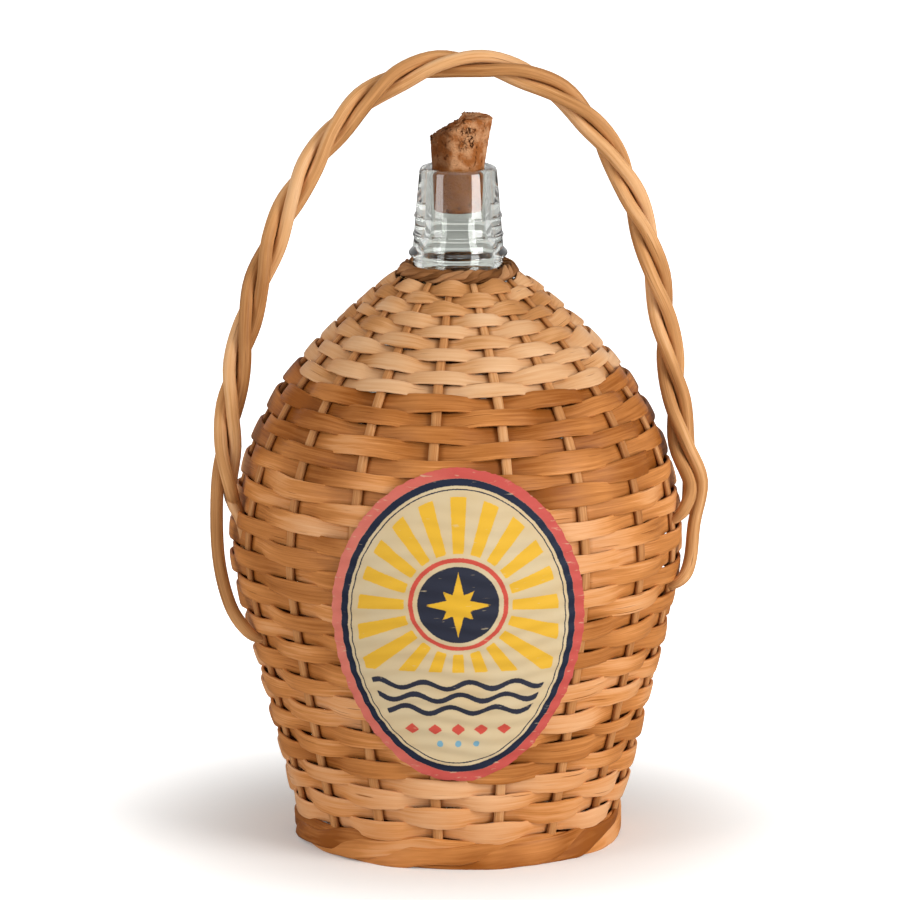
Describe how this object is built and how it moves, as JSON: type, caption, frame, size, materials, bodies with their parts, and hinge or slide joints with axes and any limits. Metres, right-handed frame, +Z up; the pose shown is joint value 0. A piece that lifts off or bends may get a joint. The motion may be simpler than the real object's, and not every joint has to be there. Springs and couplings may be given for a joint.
{
  "type": "wicker-covered rum bottle",
  "caption": "Round clear-glass demijohn in a woven willow jacket, with a twisted willow carrying handle, a tapered cork stopper and an oval paper label.",
  "frame": {"origin": "on the bottle's axis, on the plane that it stands on", "axes": "+Z up along the bottle's axis, -Y towards the label, +X to the right seen from the label's side"},
  "size_m": [0.2074, 0.188, 0.3308],
  "materials": {
    "willow_stake": "round willow stakes, matt",
    "willow_skein": "split willow skein, tanned, satin",
    "pale_willow_skein": "split willow skein, paler, satin",
    "willow_rod": "whole willow rods, twisted, satin",
    "willow_border": "split willow border, satin",
    "bark_binding": "willow bark twist, matt",
    "clear_glass": "clear moulded glass",
    "cork": "old natural cork, crumbled",
    "printed_paper": "aged printed paper"
  },
  "bodies": {
    "jacketed_bottle": {"stake_01": "willow_stake", "stake_02": "willow_stake", "stake_03": "willow_stake", "stake_04": "willow_stake", "stake_05": "willow_stake", "stake_06": "willow_stake", "stake_07": "willow_stake", "stake_08": "willow_stake", "stake_09": "willow_stake", "stake_10": "willow_stake", "stake_11": "willow_stake", "stake_12": "willow_stake", "stake_13": "willow_stake", "stake_14": "willow_stake", "stake_15": "willow_stake", "stake_16": "willow_stake", "stake_17": "willow_stake", "wall_weaver_01": "willow_skein", "wall_weaver_02": "willow_skein", "wall_weaver_03": "willow_skein", "wall_weaver_04": "willow_skein", "wall_weaver_05": "willow_skein", "wall_weaver_06": "willow_skein", "wall_weaver_07": "willow_skein", "wall_weaver_08": "willow_skein", "wall_weaver_09": "willow_skein", "base_weaver_01": "willow_skein", "shoulder_weaver_01": "pale_willow_skein", "shoulder_weaver_02": "pale_willow_skein", "handle_rod_outer": "willow_rod", "handle_rod_front": "willow_rod", "handle_rod_back": "willow_rod", "foot_border": "willow_border", "neck_binding": "bark_binding", "glass_bottle": "clear_glass", "label": "printed_paper"},
    "stopper": {"cork": "cork"}
  },
  "joints": [
    {"name": "cork_pull", "type": "slide", "parent": "jacketed_bottle", "child": "stopper", "axis": [0, 0, 1], "range_m": [0, 0.04]}
  ]
}
